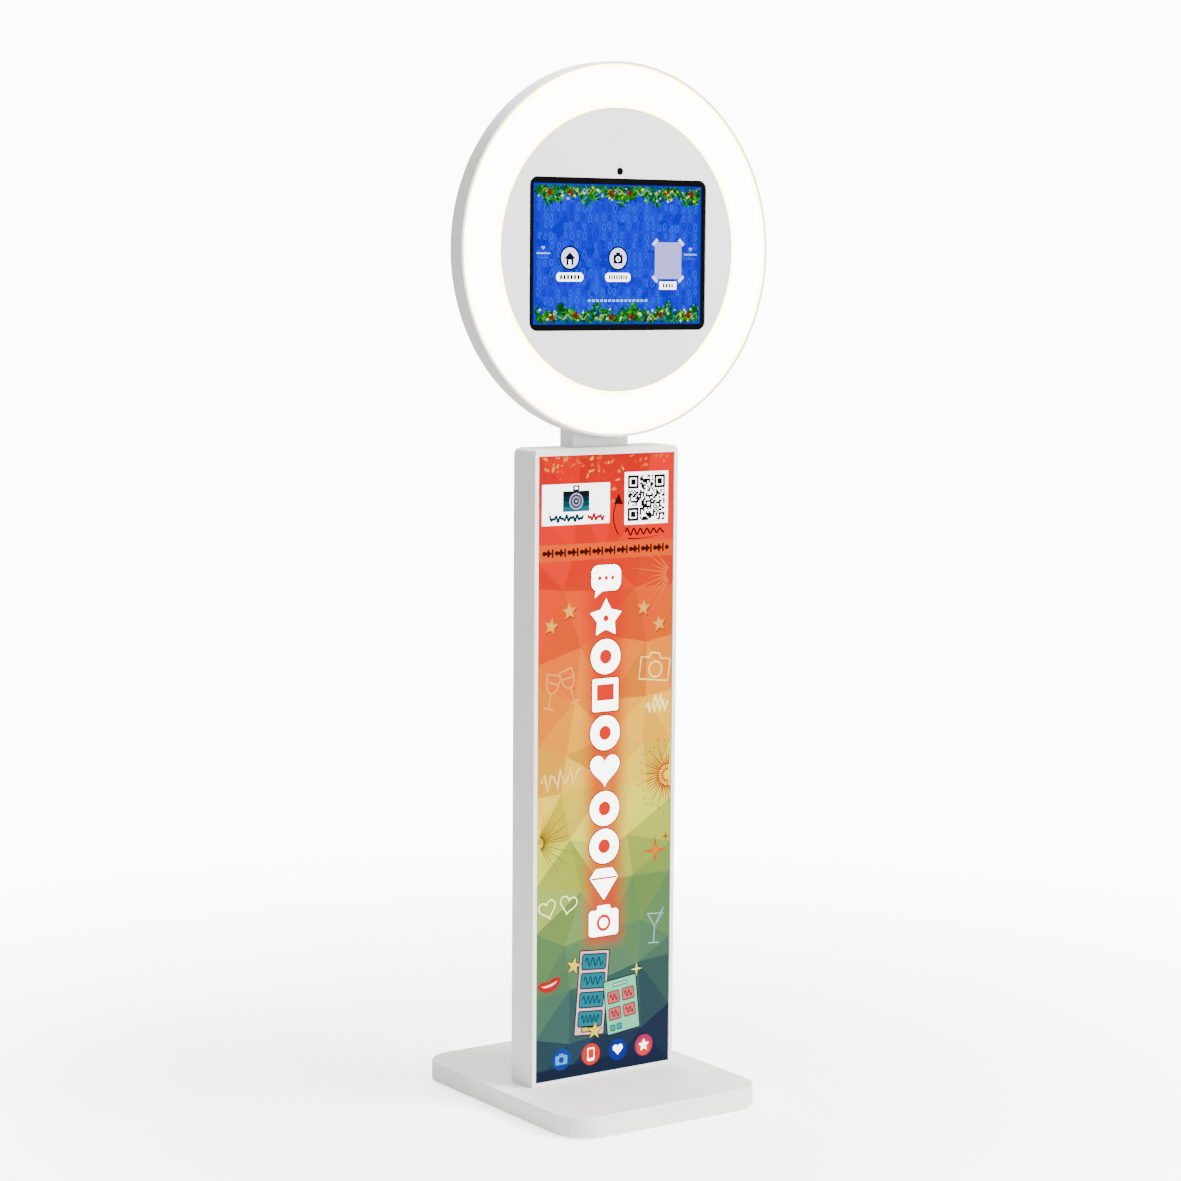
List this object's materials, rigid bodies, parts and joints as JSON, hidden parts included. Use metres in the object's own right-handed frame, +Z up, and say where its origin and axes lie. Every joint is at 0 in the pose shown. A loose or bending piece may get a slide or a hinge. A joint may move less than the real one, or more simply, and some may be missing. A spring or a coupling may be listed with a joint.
{
  "type": "photo booth",
  "caption": "Free-standing party photo booth: weighted flat base, backlit column, and a tilting round head with a tablet inside a ring light.",
  "frame": {"origin": "on the floor under the centre of the base", "axes": "+Z up, the guest stands at -Y and faces +Y, +X is to that guest's right"},
  "size_m": [0.5059, 0.392, 1.435],
  "materials": {
    "white_coat": "satin powder coat",
    "face_coat": "satin powder coat",
    "dark_steel": "matt black coat",
    "rubber": "matt",
    "steel": "zinc plated",
    "hinge_steel": "brushed",
    "nickel": "polished nickel",
    "opal": "opal acrylic",
    "print": "printed acrylic",
    "sheet_aluminium": "mill finish",
    "circuit_board": "white solder mask",
    "led": "moulded",
    "tablet_glass": "black backed",
    "lens_glass": "coated",
    "tablet_case": "bead blasted",
    "black_plastic": "fine texture",
    "red_plastic": "smooth",
    "white_plastic": "smooth",
    "brass": "plated",
    "cable": "smooth jacket",
    "brown_lead": "smooth jacket",
    "blue_lead": "smooth jacket"
  },
  "bodies": {
    "stand": {"ballast_plate": "dark_steel", "base_cover": "white_coat", "blue_lead": "blue_lead", "brown_leads": "brown_lead", "column_shell": "white_coat", "foot_screws": "steel", "friction_washers": "steel", "front_frame": "white_coat", "graphic_panel": "print", "head_connector": "black_plastic", "light_strips": "led", "light_tray": "sheet_aluminium", "mains_inlet": "black_plastic", "mains_pins": "brass", "neck_post": "white_coat", "panel_diffuser": "opal", "post_bolts": "steel", "post_nuts": "steel", "power_supply": "sheet_aluminium", "power_switch": "black_plastic", "rubber_feet": "rubber", "service_hinge_pins": "steel", "service_hinge_plates": "hinge_steel", "supply_cables": "cable", "tilt_pin": "steel"},
    "head": {"head_rim": "white_coat", "head_back": "white_coat", "head_screws": "steel", "inner_ring": "white_plastic", "ring_diffuser": "opal", "led_board": "circuit_board", "ring_leds": "led", "head_pillars": "steel", "face_plate": "face_coat", "tablet_glass": "tablet_glass", "tablet_body": "tablet_case", "tablet_cradle": "dark_steel", "camera_module": "black_plastic", "camera_lens": "lens_glass", "light_driver": "sheet_aluminium", "dimmer": "black_plastic", "head_bracket": "white_coat", "tablet_hinge_plates": "hinge_steel", "tablet_hinge_pins": "steel"},
    "tilt_knob": {"tilt_knob": "black_plastic"},
    "service_door": {"service_door": "white_coat", "service_hinge_leaves": "hinge_steel", "service_lock_barrel": "nickel", "service_lock_nut": "steel"},
    "service_lock": {"service_lock_core": "nickel", "service_lock_cam": "steel"},
    "tablet_door": {"tablet_door": "white_coat", "tablet_hinge_leaves": "hinge_steel", "tablet_lock_barrel": "nickel", "tablet_lock_nut": "steel"},
    "tablet_lock": {"tablet_lock_core": "nickel", "tablet_lock_cam": "steel"},
    "dimmer_control": {"dimmer_knob": "black_plastic", "dimmer_shaft": "steel"},
    "power_rocker": {"power_rocker": "red_plastic"}
  },
  "joints": [
    {"name": "head_tilt", "type": "hinge", "parent": "stand", "child": "head", "pos_m": [0, -0.006, 1.01], "axis": [1, 0, 0], "range_deg": [-20, 8]},
    {"name": "tilt_knob_turn", "type": "hinge", "parent": "stand", "child": "tilt_knob", "pos_m": [0.055, -0.006, 1.01], "axis": [1, 0, 0], "range_deg": [0, 180]},
    {"name": "service_door_swing", "type": "hinge", "parent": "stand", "child": "service_door", "pos_m": [-0.0995, 0.0233, 0.508], "axis": [0, 0, 1], "range_deg": [0, 110]},
    {"name": "service_lock_turn", "type": "hinge", "parent": "service_door", "child": "service_lock", "pos_m": [0.076, 0.02, 0.508], "axis": [0, -1, 0], "range_deg": [0, 90]},
    {"name": "tablet_door_swing", "type": "hinge", "parent": "head", "child": "tablet_door", "pos_m": [-0.1265, -0.0247, 1.182], "axis": [0, 0, 1], "range_deg": [0, 110]},
    {"name": "tablet_lock_turn", "type": "hinge", "parent": "tablet_door", "child": "tablet_lock", "pos_m": [0.103, -0.028, 1.182], "axis": [0, -1, 0], "range_deg": [0, 90]},
    {"name": "dimmer_turn", "type": "hinge", "parent": "head", "child": "dimmer_control", "pos_m": [0.105, -0.02, 1.056], "axis": [0, -1, 0], "range_deg": [0, 270]},
    {"name": "power_rocker_tip", "type": "hinge", "parent": "stand", "child": "power_rocker", "pos_m": [0.082, 0.014, 0.098], "axis": [1, 0, 0], "range_deg": [0, 16]}
  ]
}
